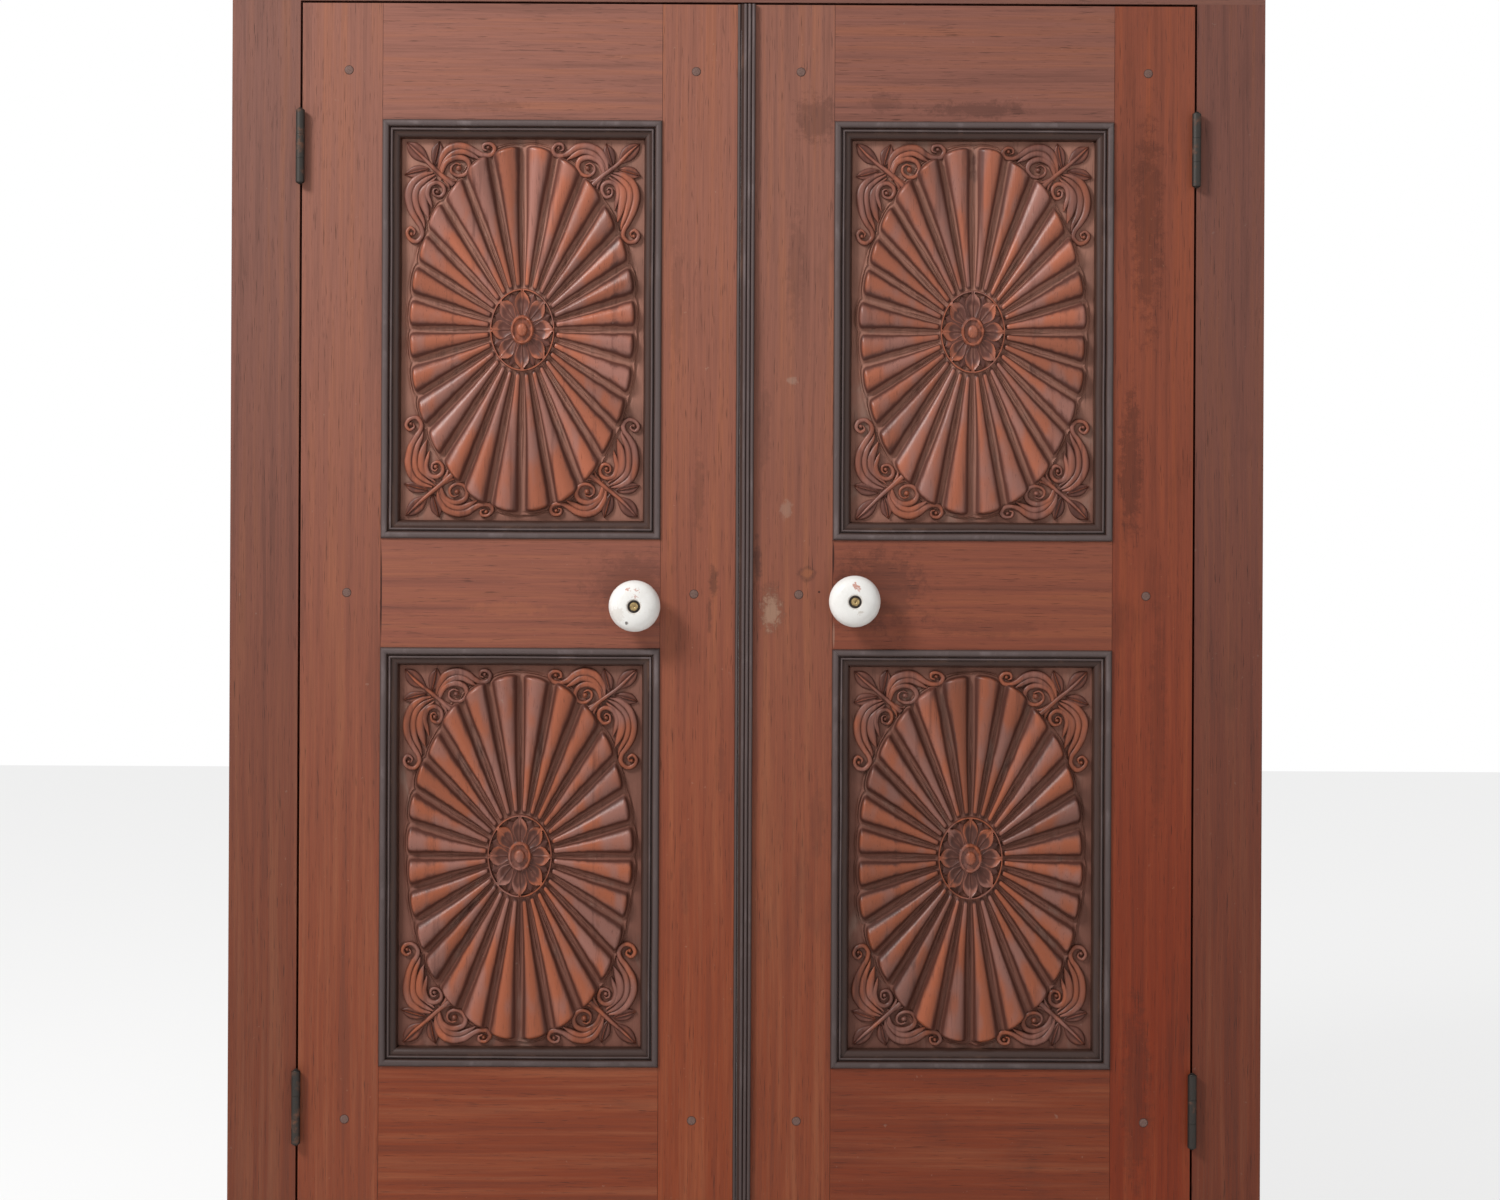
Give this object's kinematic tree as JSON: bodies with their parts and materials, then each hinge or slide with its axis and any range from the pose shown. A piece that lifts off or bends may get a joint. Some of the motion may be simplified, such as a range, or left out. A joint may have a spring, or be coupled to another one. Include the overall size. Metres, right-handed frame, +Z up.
{
  "type": "carved wooden double door",
  "caption": "Pair of panelled wooden door leaves with carved oval sunbursts, black beads and white knobs, hung on butt hinges in a rebated frame, with sliding bolts behind.",
  "frame": {"origin": "middle of the sill's underside, halfway through the frame's depth", "axes": "+Z up, -Y out of the carved front towards the person who pulls the knobs, +X to the right as seen from the front"},
  "size_m": [1.291, 0.1525, 1.755],
  "materials": {
    "frame_wood": "old oiled teak",
    "leaf_wood": "old waxed teak",
    "carved_wood": "old waxed teak, dusty",
    "peg_wood": "end grain",
    "ebonised_wood": "worn black polish",
    "hinge_iron": "worn dark iron",
    "bolt_iron": "black japanned iron",
    "bolt_steel": "dull steel",
    "screw_steel": "dull steel",
    "knob_porcelain": "white glaze",
    "knob_brass": "tarnished brass"
  },
  "bodies": {
    "frame": {"frame_head": "frame_wood", "frame_pegs": "peg_wood", "frame_screws": "screw_steel", "frame_sill": "frame_wood", "left_hinge_pins": "hinge_iron", "left_jamb": "frame_wood", "left_lower_hinge_frame_plate": "hinge_iron", "left_upper_hinge_frame_plate": "hinge_iron", "right_hinge_pins": "hinge_iron", "right_jamb": "frame_wood", "right_lower_hinge_frame_plate": "hinge_iron", "right_upper_hinge_frame_plate": "hinge_iron"},
    "left_leaf": {"bottom_bolt_plate": "bolt_iron", "latch_bolt_keeper": "bolt_iron", "left_bottom_rail": "leaf_wood", "left_hinge_stile": "leaf_wood", "left_knob": "knob_porcelain", "left_knob_bolt": "knob_brass", "left_knob_nut": "knob_brass", "left_knob_washer": "knob_brass", "left_leaf_pegs": "peg_wood", "left_leaf_screws": "screw_steel", "left_lock_rail": "leaf_wood", "left_lower_end_beads": "ebonised_wood", "left_lower_hinge_leaf_plate": "hinge_iron", "left_lower_panel": "carved_wood", "left_lower_side_beads": "ebonised_wood", "left_meeting_bead": "ebonised_wood", "left_meeting_stile": "leaf_wood", "left_top_rail": "leaf_wood", "left_upper_end_beads": "ebonised_wood", "left_upper_hinge_leaf_plate": "hinge_iron", "left_upper_panel": "carved_wood", "left_upper_side_beads": "ebonised_wood", "top_bolt_plate": "bolt_iron"},
    "right_leaf": {"latch_bolt_plate": "bolt_iron", "right_bottom_rail": "leaf_wood", "right_hinge_stile": "leaf_wood", "right_knob": "knob_porcelain", "right_knob_bolt": "knob_brass", "right_knob_nut": "knob_brass", "right_knob_washer": "knob_brass", "right_leaf_pegs": "peg_wood", "right_leaf_screws": "screw_steel", "right_lock_rail": "leaf_wood", "right_lower_end_beads": "ebonised_wood", "right_lower_hinge_leaf_plate": "hinge_iron", "right_lower_panel": "carved_wood", "right_lower_side_beads": "ebonised_wood", "right_meeting_astragal": "ebonised_wood", "right_meeting_stile": "leaf_wood", "right_top_rail": "leaf_wood", "right_upper_end_beads": "ebonised_wood", "right_upper_hinge_leaf_plate": "hinge_iron", "right_upper_panel": "carved_wood", "right_upper_side_beads": "ebonised_wood"},
    "top_bolt": {"top_bolt_rod": "bolt_steel"},
    "bottom_bolt": {"bottom_bolt_rod": "bolt_steel"},
    "latch_bolt": {"latch_bolt_rod": "bolt_steel"}
  },
  "joints": [
    {"name": "left_leaf_swing", "type": "hinge", "parent": "frame", "child": "left_leaf", "pos_m": [-0.559, -0.0615, 0.85], "axis": [0, 0, -1], "range_deg": [0, 110]},
    {"name": "right_leaf_swing", "type": "hinge", "parent": "frame", "child": "right_leaf", "pos_m": [0.559, -0.0615, 0.85], "axis": [0, 0, 1], "range_deg": [0, 110]},
    {"name": "top_bolt_slide", "type": "slide", "parent": "left_leaf", "child": "top_bolt", "axis": [0, 0, 1], "range_m": [0, 0.03]},
    {"name": "bottom_bolt_slide", "type": "slide", "parent": "left_leaf", "child": "bottom_bolt", "axis": [0, 0, -1], "range_m": [0, 0.03]},
    {"name": "latch_bolt_slide", "type": "slide", "parent": "right_leaf", "child": "latch_bolt", "axis": [-1, 0, 0], "range_m": [0, 0.03]}
  ]
}
